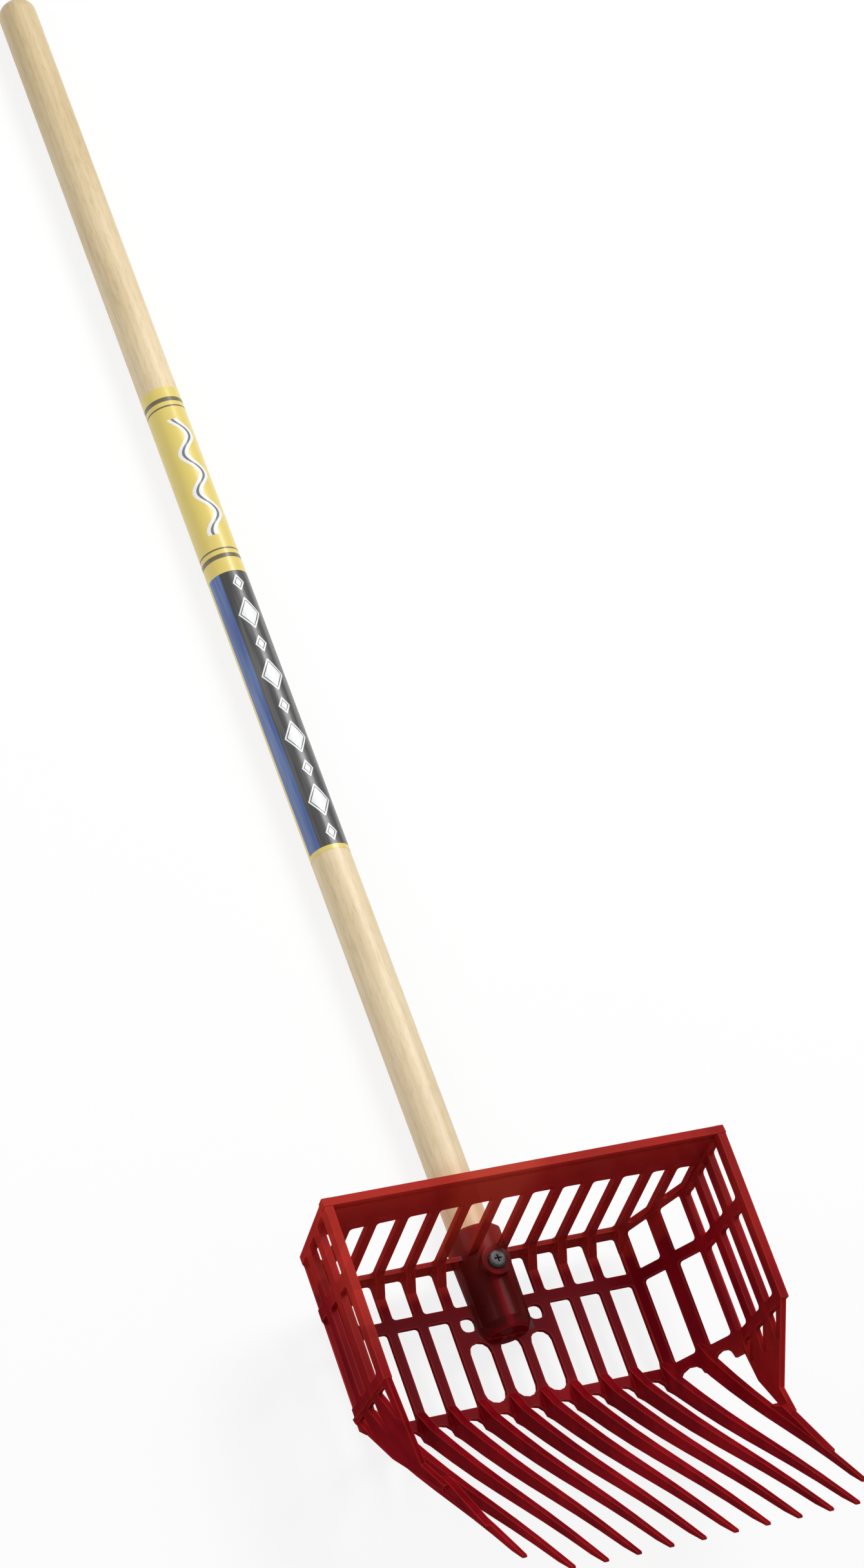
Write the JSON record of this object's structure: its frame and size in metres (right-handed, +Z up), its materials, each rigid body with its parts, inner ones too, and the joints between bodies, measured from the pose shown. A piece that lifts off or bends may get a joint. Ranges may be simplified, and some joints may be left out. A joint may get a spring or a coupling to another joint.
{
  "type": "manure fork",
  "caption": "Long-handled manure fork with a slatted basket head of bent tines, screwed to a round wooden handle with a wrap label, for sifting and carrying stable bedding",
  "frame": {"origin": "middle of the bounding box in X and Y, on the plane the fork lies on", "axes": "+X across the fork, +Y along the handle from the tines to the free end, +Z up out of the basket mouth"},
  "size_m": [0.3304, 1.537, 0.2248],
  "materials": {
    "red_plastic": "translucent deep red moulded polycarbonate, glossy with soft moulding marks",
    "ash_wood": "pale turned ash with fine straight grain and a satin lacquer",
    "screw_steel": "zinc-plated pan-head screw with a cross recess",
    "label_film": "printed film in yellow, blue and charcoal blocks, slightly glossy"
  },
  "bodies": {
    "root": {"fork_head": "red_plastic", "handle": "ash_wood", "socket_screw": "screw_steel", "handle_label": "label_film"}
  },
  "joints": []
}
